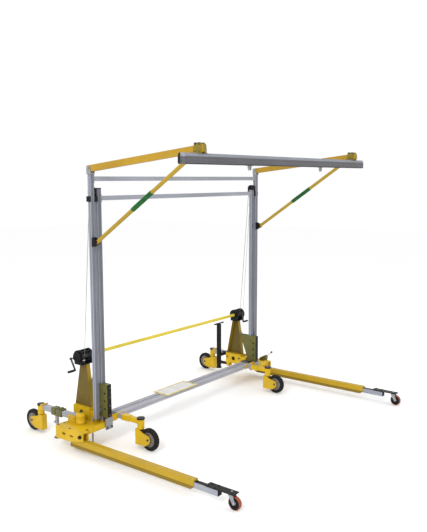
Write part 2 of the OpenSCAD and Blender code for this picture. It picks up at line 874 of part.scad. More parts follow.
// Channel fork of a main caster; way is +1 when the wheel trails towards +Y
module main_fork(x, y, way) {
  side_in = wheel_w / 2 + 5;
  axle_z = wheel_d / 2;
  translate([x, y, 0]) scale([1, 1, 1]) mirror([0, way < 0 ? 1 : 0, 0]) {
    for (s = [-1, 1]) {
      slab_x(
        s * (side_in + 3) - 3, s * (side_in + 3) + 3,
        [[-48, 40], [-48, 212], [12, 212], [58, 192], [caster_trail + 18, 168],
          [caster_trail + 34, axle_z], [caster_trail + 15, 84], [92, 44]]
      );
      head_x(s * (side_in + 10.5) - 4.5, caster_trail, axle_z, 28, 9);
    }
    span(-side_in - 6, side_in + 6, -56, -48, 40, 221);
    span(-side_in - 6, side_in + 6, -48, 12, 212, 221);
    bar_z(0, 0, 221, socket_low - seat, 54);
    bar_z(0, 0, 221, socket_high - 1, stem_d);
    bar_x(-side_in - 6, side_in + 6, caster_trail, axle_z, 16);
  }
}

module fork_front_l() {
  color([0.93, 0.74, 0.14]) left() main_fork(front_x, front_stem_y, -1);
}

module fork_front_r() {
  color([0.93, 0.74, 0.14]) right() main_fork(front_x, front_stem_y, -1);
}

module fork_rear_l() {
  color([0.93, 0.74, 0.14]) left() main_fork(rear_x, rear_stem_y, 1);
}

module fork_rear_r() {
  color([0.93, 0.74, 0.14]) right() main_fork(rear_x, rear_stem_y, 1);
}

// Turned wheel: tyre with two grooves, dished disc and hub
module wheel(x, y, d, w, bore) {
  r = d / 2;
  t = w / 2;
  translate([x, y, r]) rotate([0, 90, 0]) rotate_extrude() {
    polygon([[bore / 2 + run, -t - 2], [r * 0.24, -t - 2], [r * 0.24, -t * 0.3],
      [r * 0.6, -t * 0.3], [r * 0.64, -t * 0.86], [r * 0.72, -t * 0.86], [r * 0.9, -t],
      [r * 0.985, -t * 0.8], [r, -t * 0.5], [r, -t * 0.28], [r - 3, -t * 0.22],
      [r - 3, -t * 0.14], [r, -t * 0.08], [r, t * 0.08], [r - 3, t * 0.14], [r - 3, t * 0.22],
      [r, t * 0.28], [r, t * 0.5], [r * 0.985, t * 0.8], [r * 0.9, t], [r * 0.72, t * 0.86],
      [r * 0.64, t * 0.86], [r * 0.6, t * 0.3], [r * 0.24, t * 0.3], [r * 0.24, t + 2],
      [bore / 2 + run, t + 2]]);
  }
}

module wheel_front_l() {
  color([0.13, 0.13, 0.14]) left() wheel(front_x, -front_reach, wheel_d, wheel_w, 16);
}

module wheel_front_r() {
  color([0.13, 0.13, 0.14]) right() wheel(front_x, -front_reach, wheel_d, wheel_w, 16);
}

module wheel_rear_l() {
  color([0.13, 0.13, 0.14]) left() wheel(rear_x, rear_reach, wheel_d, wheel_w, 16);
}

module wheel_rear_r() {
  color([0.13, 0.13, 0.14]) right() wheel(rear_x, rear_reach, wheel_d, wheel_w, 16);
}

// Outer leg tube with slide pads in its mouth and a bevelled front end
module leg_outer() {
  w = leg_width / 2;
  difference() {
    slab_x(leg_x - w, leg_x + w, [[118, leg_low], [118, leg_high], [-leg_reach, leg_high],
      [-leg_reach, leg_low + 34], [-leg_reach + 40, leg_low]]);
    span(leg_x - w + 4, leg_x + w - 4, -leg_reach - 1, 114, leg_low + 4, leg_high - 4);
  }
  span(leg_x - w + 3, leg_x + w - 3, -leg_reach + 2, -leg_reach + 120, inner_high + seat,
    leg_high - 3);
  span(leg_x - w + 3, leg_x + w - 3, -leg_reach + 44, -leg_reach + 120, leg_low + 3,
    inner_low - seat);
}

module leg_outer_l() {
  color([0.78, 0.62, 0.18]) left() leg_outer();
}

module leg_outer_r() {
  color([0.78, 0.62, 0.18]) right() leg_outer();
}

// Sliding inner tube with the caster plate
module leg_inner() {
  w = inner_w / 2;
  difference() {
    span(leg_x - w, leg_x + w, -leg_reach - 283, -900, inner_low, inner_high);
    span(leg_x - w + 4, leg_x + w - 4, -leg_reach - 277, -899, inner_low + 4, inner_high - 4);
  }
  span(leg_x - 24, leg_x + 24, leg_stem_y + 150, leg_stem_y + 270, inner_high, leg_plate_z);
  difference() {
    span(leg_x - 44, leg_x + 44, leg_stem_y - 52, leg_stem_y + 283, leg_plate_z, leg_plate_z + 9);
    bar_z(leg_x, leg_stem_y, leg_plate_z - 1, leg_plate_z + 10, 16 + 2 * run);
  }
  for (x = [leg_x - 30, leg_x + 30]) {
    for (y = [leg_stem_y + 170, leg_stem_y + 250]) {
      head_z(x, y, leg_plate_z + 9, 16, 7);
    }
  }
}

module leg_inner_l() {
  color([0.6, 0.61, 0.64]) left() leg_inner();
}

module leg_inner_r() {
  color([0.6, 0.61, 0.64]) right() leg_inner();
}

// Pressed fork of a leg caster
module leg_fork() {
  side_in = leg_wheel_w / 2 + 4;
  axle_z = leg_wheel_d / 2;
  translate([leg_x, leg_stem_y, 0]) {
    for (s = [-1, 1]) {
      slab_x(
        s * (side_in + 2) - 2, s * (side_in + 2) + 2,
        [[26, leg_wheel_d + 9], [-30, leg_wheel_d + 9], [-leg_trail - 15, axle_z + 2],
          [-leg_trail - 10, axle_z - 14], [-leg_trail + 10, axle_z - 14]]
      );
      head_x(s * (side_in + 7) - 3, -leg_trail, axle_z, 18, 6);
    }
    span(-side_in - 4, side_in + 4, -30, 26, leg_wheel_d + 4, leg_wheel_d + 9);
    bar_z(0, 0, leg_wheel_d + 9, leg_plate_z - seat, 54);
    bar_z(0, 0, leg_wheel_d + 9, leg_plate_z + 12, 16);
    head_z(0, 0, leg_plate_z + 9 + seat, 24, 9);
    bar_x(-side_in - 4, side_in + 4, -leg_trail, axle_z, 10);
  }
}

module fork_leg_l() {
  color([0.55, 0.56, 0.58]) left() leg_fork();
}

module fork_leg_r() {
  color([0.55, 0.56, 0.58]) right() leg_fork();
}

module wheel_leg_l() {
  color([0.13, 0.13, 0.14]) left() wheel(leg_x, -leg_caster_reach, leg_wheel_d, leg_wheel_w, 10);
}

module wheel_leg_r() {
  color([0.13, 0.13, 0.14]) right() wheel(leg_x, -leg_caster_reach, leg_wheel_d, leg_wheel_w, 10);
}

// Clamp round the rear tube with the drop leg sleeve under it
module jack_clamp_l() {
  color([0.4, 0.44, 0.26]) left() {
    difference() {
      span(rear_x - 42, rear_x + 42, 450, 625, tube_low - 12, tube_high + 12);
      span(rear_x - 30.3, rear_x + 30.3, 449, 626, tube_low - seat, tube_high + seat);
      span(rear_x - 43, rear_x + 43, 532, 558, tube_low + 10, tube_high + 13);
    }
    difference() {
      bar_z(rear_x, jack_y, 172, tube_low - 12, 44);
      bar_z(rear_x, jack_y, 171, tube_low - 13, 30 + 2 * run);
    }
    for (y = [478, 505]) {
      head_z(rear_x - 22, y, tube_high + 12, 18, 12);
      head_z(rear_x + 22, y, tube_high + 12, 18, 12);
    }
    bar_x(rear_x + 20, rear_x + 34, jack_y, 200, 12);
    bar_x(rear_x + 34, rear_x + 42, jack_y, 200, 22);
  }
}

module jack_leg_l() {
  color([0.16, 0.16, 0.17]) left() {
    bar_z(rear_x, jack_y, 12, 215, 30);
    bar_z(rear_x, jack_y, 0, 12, 76);
    bar_z(rear_x, jack_y, 12, 26, 46);
  }
}

// Black screw prop with its bracket to the rear tube and its lower stay
module jack_column_r() {
  color([0.1, 0.1, 0.11]) right() {
    difference() {
      span(prop_x - 25, prop_x + 25, prop_y - 25, prop_y + 25, 165, 790);
      span(prop_x - 21, prop_x + 21, prop_y - 21, prop_y + 21, 164, 791);
    }
    difference() {
      span(prop_x - 28, prop_x + 28, prop_y - 28, prop_y + 28, 790, 800);
      bar_z(prop_x, prop_y, 789, 801, 20 + 2 * run);
    }
    span(prop_x + 25, rear_x - 38, prop_y - 22, prop_y + 22, 300, 340);
    span(rear_x - 38, rear_x - 30.3, prop_y - 40, prop_y + 40, 292, 348);
    span(prop_x - 15, prop_x + 15, 425.3, prop_y - 25, 200, 236);
  }
}

module jack_handle_r() {
  color([0.1, 0.1, 0.11]) right() {
    bar_z(prop_x, prop_y, 700, 812, 20);
    bar_z(prop_x, prop_y, 800.3, 808, 34);
    bar_x(prop_x - 110, prop_x + 110, prop_y, 814, 22);
  }
}

module jack_foot_r() {
  color([0.13, 0.13, 0.16]) right() {
    span(prop_x - 20.8, prop_x + 20.8, prop_y - 20.8, prop_y + 20.8, 136, 560);
    bar_z(prop_x, prop_y, 136, 154, 62);
    bar_z(prop_x, prop_y, 122, 136, 84);
  }
}

// Levelling screw beside the lifting column; rise is how far it is wound up
module front_jack(rise) {
  bar_z(lift_x, screw_y, 13 + rise, 306 + rise, 20);
  bar_z(lift_x, screw_y, rise, 13 + rise, 60);
  head_z(lift_x, screw_y, 306 + rise, 26, 14);
}

module front_jack_l() {
  color([0.75, 0.76, 0.78]) left() front_jack(0);
}

module front_jack_r() {
  color([0.75, 0.76, 0.78]) right() front_jack(170);
}

// Round plunger knob in the outer skirt of the left leg socket
module latch_pin_l() {
  outer = leg_x + leg_width / 2 + seat + 12;
  color([0.08, 0.08, 0.09]) left() {
    bar_x(leg_x + leg_width / 2 - 20, outer + 6, -64, 215, 12);
    bar_x(outer + 3, outer + 24, -64, 215, 38);
  }
}

// Slanting pull pin in the latch bracket of the right leg socket
module latch_pin_r() {
  color([0.5, 0.51, 0.53]) right() {
    translate([leg_x, 0, 294]) rotate([50, 0, 0]) {
      translate([0, 0, -20]) cylinder(h = 185, d = 8);
      translate([0, 0, 165]) cylinder(h = 22, d = 26);
    }
  }
}

base_rails();
centre_plate();
tie_bar();
tower_base_l();
tower_base_r();
mast_shoes();
fixed_masts();
lower_crossbar();
guide_blocks();
winch_posts();
winch_frame_l();
winch_frame_r();
leg_outer_l();
leg_outer_r();
rear_tubes();
caster_sockets();
jack_clamp_l();
jack_column_r();
winch_cables();
lift_mast_l();
lift_mast_r();
upper_crossbar();
arm_l();
arm_r();
braces();
brace_sleeves();
mast_heads();
rail();
rail_fittings();
trolley_l();
trolley_r();
winch_drum_l();
winch_drum_r();
winch_crank_l();
winch_crank_r();
sheave_l();
sheave_r();
fall_cable_l();
fall_cable_r();
fork_front_l();
fork_front_r();
fork_rear_l();
fork_rear_r();
fork_leg_l();
fork_leg_r();
wheel_front_l();
wheel_front_r();
wheel_rear_l();
wheel_rear_r();
wheel_leg_l();
wheel_leg_r();
leg_inner_l();
leg_inner_r();
jack_leg_l();
jack_handle_r();
jack_foot_r();
front_jack_l();
front_jack_r();
latch_pin_l();
latch_pin_r();
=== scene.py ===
# Looks of the wheeled two-mast rail gantry: materials, fine detail, studio and camera.
import math

import bmesh
import bpy
from mathutils import Matrix, Vector


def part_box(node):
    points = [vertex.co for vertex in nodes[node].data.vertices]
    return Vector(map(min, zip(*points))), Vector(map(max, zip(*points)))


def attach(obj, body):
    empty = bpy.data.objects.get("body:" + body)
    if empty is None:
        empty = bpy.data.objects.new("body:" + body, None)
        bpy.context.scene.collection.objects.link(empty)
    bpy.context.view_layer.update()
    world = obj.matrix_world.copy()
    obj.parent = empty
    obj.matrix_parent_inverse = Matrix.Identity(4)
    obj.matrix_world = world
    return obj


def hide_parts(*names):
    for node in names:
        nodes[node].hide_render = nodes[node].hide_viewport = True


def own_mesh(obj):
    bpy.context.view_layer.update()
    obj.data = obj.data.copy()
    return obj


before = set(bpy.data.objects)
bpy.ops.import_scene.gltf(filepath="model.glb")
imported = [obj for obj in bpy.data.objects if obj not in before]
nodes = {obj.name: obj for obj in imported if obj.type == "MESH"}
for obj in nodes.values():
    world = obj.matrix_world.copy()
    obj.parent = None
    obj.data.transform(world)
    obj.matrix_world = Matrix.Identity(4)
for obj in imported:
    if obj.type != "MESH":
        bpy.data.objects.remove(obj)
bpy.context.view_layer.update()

HANDS = (("l", -1), ("r", 1))
STEMS = {"front": (1.297, 0.105), "rear": (1.670, 1.387)}  # x and y of each base caster's stem
FIXED_COLUMN = (1.475, 0.525)  # x and y of its centre
LIFT_COLUMN = (1.575, 0.525)
WINCH_AXLE = (0.796, 0.995)  # y and z
BLUR = 0.001  # half the width over which one coat fades into the next


# ---------------------------------------------------------------- camera and studio

def make_camera():
    yaw = math.radians(-52.2635)
    pitch = math.radians(7.3335)
    roll = math.radians(-0.105)
    flat = math.cos(pitch)
    back = Vector((math.sin(yaw) * flat, -math.cos(yaw) * flat, math.sin(pitch)))
    side = Vector((math.cos(yaw), math.sin(yaw), 0.0))
    up = back.cross(side)
    right = side * math.cos(roll) + up * math.sin(roll)
    top = up * math.cos(roll) - side * math.sin(roll)
    data = bpy.data.cameras.new("camera")
    data.lens = 45.78
    data.sensor_width = 36.0
    data.clip_end = 60.0
    cam = bpy.data.objects.new("camera", data)
    bpy.context.scene.collection.objects.link(cam)
    turn = Matrix((right, top, back)).transposed().to_4x4()
    cam.matrix_world = Matrix.Translation((-6.5717, -5.0107, 3.0004)) @ turn
    bpy.context.scene.camera = cam


def make_light(name, place, target, size, power, colour):
    data = bpy.data.lights.new(name, "AREA")
    data.shape = "DISK"
    data.size = size
    data.energy = power
    data.color = colour
    lamp = bpy.data.objects.new(name, data)
    bpy.context.scene.collection.objects.link(lamp)
    aim = Vector(target) - Vector(place)
    turn = aim.to_track_quat("-Z", "Y").to_matrix().to_4x4()
    lamp.matrix_world = Matrix.Translation(place) @ turn


def make_studio():
    mesh = bpy.data.meshes.new("studio_floor")
    bm = bmesh.new()
    bmesh.ops.create_grid(bm, x_segments=1, y_segments=1, size=30.0)
    bm.to_mesh(mesh)
    bm.free()
    floor = bpy.data.objects.new("studio_floor", mesh)
    bpy.context.scene.collection.objects.link(floor)
    floor.location.z = -0.0005
    mat = bpy.data.materials.new("studio_floor")
    mat.use_nodes = True
    shader = mat.node_tree.nodes["Principled BSDF"]
    shader.inputs["Base Color"].default_value = (0.985, 0.985, 0.985, 1)
    shader.inputs["Roughness"].default_value = 0.9
    mesh.materials.append(mat)
    world = bpy.data.worlds.new("studio")
    world.use_nodes = True
    sky = world.node_tree.nodes["Background"]
    sky.inputs["Color"].default_value = (1, 1, 1, 1)
    sky.inputs["Strength"].default_value = 1.0
    bpy.context.scene.world = world
    make_light("key", (-8.5, -2.5, 6.5), (0, 0, 1.2), 2.5, 330, (1.0, 0.985, 0.96))
    make_light("fill", (1.5, -8.0, 5.5), (0, 0, 1.5), 4.0, 70, (0.96, 0.98, 1.0))
    make_light("rim", (3.0, 6.5, 6.0), (0, 0, 1.5), 3.0, 60, (1.0, 1.0, 1.0))
    bpy.context.scene.view_settings.view_transform = "Standard"


# ---------------------------------------------------------------- materials

def tint(colour, factor):
    return tuple(c * factor for c in colour)


class Nodes:
    """Small helper that adds and links shader nodes."""

    def __init__(self, name):
        self.mat = bpy.data.materials.new(name)
        self.mat.use_nodes = True
        self.tree = self.mat.node_tree
        self.shader = self.tree.nodes["Principled BSDF"]

    def add(self, kind, **values):
        node = self.tree.nodes.new(kind)
        for key, value in values.items():
            setattr(node, key, value)
        return node

    def link(self, source, target):
        self.tree.links.new(source, target)

    def coords(self, scale=(1, 1, 1)):
        tex = self.add("ShaderNodeTexCoord")
        mapping = self.add("ShaderNodeMapping")
        mapping.inputs["Scale"].default_value = scale
        self.link(tex.outputs["Object"], mapping.inputs["Vector"])
        return mapping.outputs["Vector"]

    def axes(self):
        """X, Y and Z of the surface point in the object's own space."""
        parts = self.add("ShaderNodeSeparateXYZ")
        self.link(self.coords(), parts.inputs[0])
        return parts.outputs

    def noise(self, vector, scale, detail=4.0, rough=0.6):
        node = self.add("ShaderNodeTexNoise")
        node.inputs["Scale"].default_value = scale
        node.inputs["Detail"].default_value = detail
        node.inputs["Roughness"].default_value = rough
        self.link(vector, node.inputs["Vector"])
        return node.outputs["Fac"]

    def ramp(self, value, low, high, out_low=0.0, out_high=1.0):
        node = self.add("ShaderNodeMapRange", interpolation_type="SMOOTHSTEP")
        node.inputs["From Min"].default_value = low
        node.inputs["From Max"].default_value = high
        node.inputs["To Min"].default_value = out_low
        node.inputs["To Max"].default_value = out_high
        self.link(value, node.inputs["Value"])
        return node.outputs["Result"]

    def math(self, operation, a, b=0.0, c=0.0):
        node = self.add("ShaderNodeMath", operation=operation)
        for index, value in enumerate((a, b, c)):
            if isinstance(value, (int, float)):
                node.inputs[index].default_value = value
            else:
                self.link(value, node.inputs[index])
        return node.outputs[0]

    def mix(self, factor, a, b):
        node = self.add("ShaderNodeMix", data_type="RGBA")
        for socket, value in ((node.inputs[0], factor), (node.inputs[6], a), (node.inputs[7], b)):
            if isinstance(value, (int, float)):
                socket.default_value = value
            elif isinstance(value, tuple):
                socket.default_value = value + (1.0,)
            else:
                self.link(value, socket)
        return node.outputs[2]

    def edges(self, radius=0.004):
        """Returns (rounded normal, 0..1 mask that is 1 on sharp edges)."""
        bevel = self.add("ShaderNodeBevel", samples=4)
        bevel.inputs["Radius"].default_value = radius
        geometry = self.add("ShaderNodeNewGeometry")
        dot = self.add("ShaderNodeVectorMath", operation="DOT_PRODUCT")
        self.link(bevel.outputs["Normal"], dot.inputs[0])
        self.link(geometry.outputs["Normal"], dot.inputs[1])
        mask = self.ramp(dot.outputs["Value"], 0.995, 0.86)
        return bevel.outputs["Normal"], mask

    def bump(self, height, strength, distance, normal=None):
        node = self.add("ShaderNodeBump")
        node.inputs["Strength"].default_value = strength
        node.inputs["Distance"].default_value = distance
        self.link(height, node.inputs["Height"])
        if normal is not None:
            self.link(normal, node.inputs["Normal"])
        return node.outputs["Normal"]

    def done(self, colour, roughness, normal, metallic=None, gloss=0.5):
        self.link(colour, self.shader.inputs["Base Color"])
        self.link(roughness, self.shader.inputs["Roughness"])
        self.link(normal, self.shader.inputs["Normal"])
        self.shader.inputs["Specular IOR Level"].default_value = gloss
        if metallic is not None:
            if isinstance(metallic, (int, float)):
                self.shader.inputs["Metallic"].default_value = metallic
            else:
                self.link(metallic, self.shader.inputs["Metallic"])
        return self.mat


def paint(name, colour, shade, wear=(0.30, 0.29, 0.27), wear_amount=0.5, rough=0.38, grime=0.25,
          gloss=0.22, band=None, foot=None, bare=None):
    """Powder coat: colour drift, worn edges, dust near the floor and orange peel.

    band is the height of a thin dark line, below which the coat is darkened as painted shade;
    foot is a height below which the coat is grey, and bare is a stretch along Y that shows metal.
    """
    n = Nodes(name)
    at = n.coords()
    parts = n.axes()
    normal, edge = n.edges()
    drift = n.ramp(n.noise(at, 2.3, 3.0), 0.3, 0.7)
    fine = n.ramp(n.noise(at, 45.0, 4.0), 0.35, 0.75)
    base = n.mix(drift, colour, shade)
    base = n.mix(n.math("MULTIPLY", fine, 0.18), base, tint(shade, 0.55))
    # Below band the coat is darkened as painted shade, with a thin dark line at band.
    if band is not None:
        below = n.ramp(parts["Z"], band + BLUR, band - BLUR)
        base = n.mix(below, base, tint(shade, 0.52))
        away = n.math("ABSOLUTE", n.math("SUBTRACT", parts["Z"], band))
        base = n.mix(n.ramp(away, 0.0032, 0.0012), base, tint(shade, 0.16))
    if foot is not None:
        below = n.ramp(parts["Z"], foot + BLUR, foot - BLUR)
        base = n.mix(below, base, (0.27, 0.28, 0.30))
    if bare is not None:
        after = n.ramp(parts["Y"], bare[0] - BLUR, bare[0] + BLUR)
        before = n.ramp(parts["Y"], bare[1] + BLUR, bare[1] - BLUR)
        base = n.mix(n.math("MULTIPLY", after, before), base, (0.30, 0.31, 0.35))
    chips = n.ramp(n.noise(at, 60.0, 5.0, 0.7), 0.52, 0.62)
    worn = n.math("MULTIPLY", n.math("MULTIPLY", edge, chips), wear_amount)
    base = n.mix(worn, base, wear)
    low = n.ramp(parts["Z"], 0.45, 0.0)
    patches = n.ramp(n.noise(at, 9.0, 5.0), 0.35, 0.8)
    dust = n.math("MULTIPLY", n.math("MULTIPLY", low, patches), grime)
    base = n.mix(dust, base, (0.30, 0.27, 0.22))
    sheen = n.ramp(n.noise(at, 14.0), 0.3, 0.7, rough - 0.07, rough + 0.1)
    shine = n.math("ADD", sheen, n.math("MULTIPLY", dust, 0.5))
    bumped = n.bump(n.noise(at, 420.0, 2.0), 0.12, 0.0006, normal)
    n.shader.inputs["Coat Weight"].default_value = gloss * 0.25
    n.shader.inputs["Coat Roughness"].default_value = 0.25
    return n.done(base, shine, bumped, n.math("MULTIPLY", worn, 0.6), gloss)


def extrusion(name, colour, shade, axis, rough, metallic, slots=None):
    """Anodised aluminium with die lines along one axis. slots is the x and y of a grooved column."""
    n = Nodes(name)
    scale = [260.0, 260.0, 260.0]
    scale["XYZ".index(axis)] = 1.2
    lines = n.noise(n.coords(tuple(scale)), 1.0, 3.0)
    at = n.coords()
    normal, edge = n.edges(0.003)
    drift = n.ramp(n.noise(at, 1.7, 3.0), 0.3, 0.7)
    base = n.mix(drift, colour, shade)
    base = n.mix(n.ramp(lines, 0.4, 0.7, 0.0, 0.35), base, tint(shade, 0.6))
    spots = n.ramp(n.noise(at, 30.0, 6.0, 0.7), 0.62, 0.75)
    base = n.mix(n.math("MULTIPLY", spots, 0.25), base, tint(shade, 0.5))
    base = n.mix(n.math("MULTIPLY", edge, 0.35), base, (0.60, 0.61, 0.64))
    height = lines
    if slots is not None:
        parts = n.axes()
        across = n.math("SUBTRACT", n.math("ABSOLUTE", parts["X"]), slots[0])
        along = n.math("SUBTRACT", parts["Y"], slots[1])
        # The grooves and the lines near each corner are painted dark: painted shade in the slots and along
        # the corners.
        for value in (across, along):
            away = n.math("ABSOLUTE", value)
            groove = n.ramp(n.math("ABSOLUTE", n.math("SUBTRACT", away, 0.0080)), 0.0022, 0.0010)
            corner = n.ramp(n.math("ABSOLUTE", n.math("SUBTRACT", away, 0.0215)), 0.0022, 0.0010)
            dark = n.math("MULTIPLY", n.math("ADD", n.math("MULTIPLY", groove, 0.55), corner), 0.6)
            base = n.mix(dark, base, tint(shade, 0.3))
            height = n.math("SUBTRACT", height, n.math("MULTIPLY", groove, 3.0))
    shine = n.ramp(lines, 0.3, 0.7, rough - 0.08, rough + 0.12)
    return n.done(base, shine, n.bump(height, 0.18, 0.0004, normal), metallic, 0.35)


def steel(name, colour, rough=0.32, spots=0.3, metallic=0.5):
    """Zinc plated or brushed steel with slight staining."""
    n = Nodes(name)
    at = n.coords()
    normal, edge = n.edges(0.002)
    cloud = n.ramp(n.noise(at, 38.0, 5.0, 0.65), 0.35, 0.72)
    base = n.mix(cloud, colour, tint(colour, 0.72))
    stain = n.ramp(n.noise(at, 110.0, 5.0, 0.7), 0.6, 0.72)
    base = n.mix(n.math("MULTIPLY", stain, spots), base, (0.22, 0.17, 0.12))
    base = n.mix(n.math("MULTIPLY", edge, 0.4), base, (0.85, 0.85, 0.86))
    shine = n.ramp(n.noise(at, 70.0, 3.0), 0.3, 0.7, rough - 0.08, rough + 0.14)
    return n.done(base, shine, n.bump(n.noise(at, 600.0, 2.0), 0.12, 0.0003, normal), metallic)


def moulded(name, colour, rough=0.55, grain=0.25):
    """Moulded plastic or rubber with a fine grain."""
    n = Nodes(name)
    at = n.coords()
    normal, edge = n.edges(0.002)
    cloud = n.ramp(n.noise(at, 12.0, 4.0), 0.3, 0.7)
    base = n.mix(cloud, colour, tint(colour, 0.65))
    scuff = n.ramp(n.noise(at, 55.0, 6.0, 0.7), 0.58, 0.7)
    base = n.mix(n.math("MULTIPLY", scuff, 0.22), base, (0.33, 0.32, 0.30))
    base = n.mix(n.math("MULTIPLY", edge, 0.25), base, tuple(min(1.0, c * 2.2 + 0.05) for c in colour))
    shine = n.ramp(n.noise(at, 25.0), 0.3, 0.7, rough - 0.1, rough + 0.15)
    return n.done(base, shine, n.bump(n.noise(at, 500.0, 3.0), grain, 0.0005, normal), None, 0.2)


def rope_steel(name, centre, lean):
    """Laid wire rope on both towers: diagonal strands down a rope that runs nearly upright."""
    n = Nodes(name)
    parts = n.axes()
    across = n.math("SUBTRACT", n.math("ABSOLUTE", parts["X"]), centre[0])
    along = n.math("ADD", parts["Y"], n.math("MULTIPLY", parts["Z"], lean))
    angle = n.math("ARCTAN2", n.math("SUBTRACT", along, centre[1]), across)
    phase = n.math("ADD", n.math("MULTIPLY", angle, 3.0), n.math("MULTIPLY", parts["Z"], 420.0))
    strands = n.ramp(n.math("SINE", phase), -1.0, 1.0)
    # Dark gaps and light crowns along the strands: painted shade between the strands and painted highlight
    # on them.
    base = n.mix(strands, (0.10, 0.10, 0.11), (0.42, 0.43, 0.45))
    shine = n.ramp(n.noise(n.coords(), 90.0), 0.3, 0.7, 0.3, 0.5)
    return n.done(base, shine, n.bump(strands, 0.6, 0.001), 0.6)


def threaded_steel(name, place):
    """Bright screw thread about an upright axis at (+-x, y)."""
    n = Nodes(name)
    parts = n.axes()
    across = n.math("SUBTRACT", n.math("ABSOLUTE", parts["X"]), place[0])
    along = n.math("SUBTRACT", parts["Y"], place[1])
    pitch = 0.006
    turn = n.math("MULTIPLY", parts["Z"], 2 * math.pi / pitch)
    wave = n.ramp(n.math("SINE", n.math("ADD", turn, n.math("ARCTAN2", along, across))), -1.0, 1.0)
    radius = n.math("SQRT", n.math("ADD", n.math("POWER", across, 2.0), n.math("POWER", along, 2.0)))
    wave = n.math("MULTIPLY", wave, n.ramp(radius, 0.0120, 0.0105))
    # The dark and light stripes along the thread's turns are painted shade and painted highlight on the
    # thread.
    base = n.mix(wave, (0.52, 0.53, 0.55), (0.12, 0.12, 0.13))
    cloud = n.ramp(n.noise(n.coords(), 60.0), 0.3, 0.7, 0.22, 0.4)
    return n.done(base, cloud, n.bump(wave, 0.9, 0.0012), 0.75)


def track(name):
    """Anodised track: dark face, fine lengthwise lines."""
    n = Nodes(name)
    lines = n.noise(n.coords((1.2, 240.0, 240.0)), 1.0, 3.0)
    normal, edge = n.edges(0.002)
    drift = n.ramp(n.noise(n.coords(), 2.2, 3.0), 0.3, 0.7)
    base = n.mix(drift, (0.118, 0.118, 0.130), (0.098, 0.098, 0.108))
    base = n.mix(n.ramp(lines, 0.4, 0.7, 0.0, 0.4), base, (0.07, 0.07, 0.078))
    base = n.mix(n.math("MULTIPLY", edge, 0.45), base, (0.34, 0.34, 0.36))
    shine = n.ramp(lines, 0.3, 0.7, 0.36, 0.52)
    return n.done(base, shine, n.bump(lines, 0.15, 0.0004, normal), 0.1, 0.25)


def end_cap(name, split):
    """Moulded cap on the end of the track: black behind the split, grey in front of it."""
    n = Nodes(name)
    parts = n.axes()
    normal, edge = n.edges(0.002)
    grain = n.noise(n.coords(), 320.0, 3.0)
    back = n.ramp(parts["Y"], split - BLUR, split + BLUR)
    shelf = 3.205
    above = n.ramp(parts["Z"], shelf - BLUR, shelf + BLUR)
    base = n.mix(above, (0.095, 0.095, 0.105), (0.26, 0.27, 0.30))
    base = n.mix(back, base, (0.010, 0.010, 0.011))
    base = n.mix(n.math("MULTIPLY", edge, 0.2), base, (0.25, 0.25, 0.26))
    shine = n.ramp(grain, 0.3, 0.7, 0.45, 0.6)
    return n.done(base, shine, n.bump(grain, 0.2, 0.0004, normal), None, 0.25)


def plain_plate(name, node):
    """Pale plate with a painted border and nothing on it."""
    low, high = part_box(node)
    n = Nodes(name)
    parts = n.axes()
    inside = 1.0
    for axis, border in (("X", 0.030), ("Y", 0.024)):
        index = "XYZ".index(axis)
        middle = (low[index] + high[index]) / 2
        reach = (high[index] - low[index]) / 2 - border
        gap = n.math("ABSOLUTE", n.math("SUBTRACT", parts[axis], middle))
        inside = n.math("MULTIPLY", n.ramp(gap, reach + 0.0015, reach - 0.0015), inside)
    normal = n.edges(0.002)[0]
    cloud = n.ramp(n.noise(n.coords(), 16.0, 5.0), 0.3, 0.7)
    face = n.mix(cloud, (0.66, 0.66, 0.66), (0.56, 0.56, 0.55))
    rim = n.mix(cloud, (0.66, 0.54, 0.17), (0.55, 0.44, 0.12))
    base = n.mix(inside, rim, face)
    scuffs = n.ramp(n.noise(n.coords((1, 6, 1)), 26.0, 6.0, 0.7), 0.6, 0.7)
    base = n.mix(n.math("MULTIPLY", scuffs, 0.25), base, (0.33, 0.31, 0.27))
    shine = n.ramp(cloud, 0.0, 1.0, 0.38, 0.52)
    return n.done(base, shine, n.bump(n.noise(n.coords(), 300.0), 0.1, 0.0004, normal))


def assign(material, *names):
    for name in names:
        data = nodes[name].data
        data.materials.clear()
        data.materials.append(material)
        for face in data.polygons:
            face.material_index = 0


def recolour(material, test, *names):
    """Gives a material to the faces of these nodes whose centre and normal pass a test."""
    for name in names:
        data = nodes[name].data
        data.materials.append(material)
        slot = len(data.materials) - 1
        for face in data.polygons:
            if test(face.center, face.normal):
                face.material_index = slot


YELLOW = (0.70, 0.455, 0.006)
YELLOW_SHADE = (0.56, 0.355, 0.006)
yellow = paint("yellow_coat", YELLOW, YELLOW_SHADE, grime=0.12)
socket_yellow = paint("socket_coat", YELLOW, YELLOW_SHADE, grime=0.12, bare=(0.375, 0.438))
gold = paint("gold_coat", (0.44, 0.262, 0.018), (0.36, 0.215, 0.016), rough=0.42)
# The legs are darker below 0.100 m: painted shade on their lower strip.
leg_gold = paint("leg_gold_coat", (0.50, 0.318, 0.008), (0.44, 0.278, 0.008),
                 rough=0.40, grime=0.06, band=0.100)
brace_gold = paint("brace_coat", (0.40, 0.265, 0.020), (0.35, 0.23, 0.018), rough=0.42)
post_gold = paint("post_coat", (0.42, 0.27, 0.012), (0.32, 0.205, 0.010), rough=0.45)
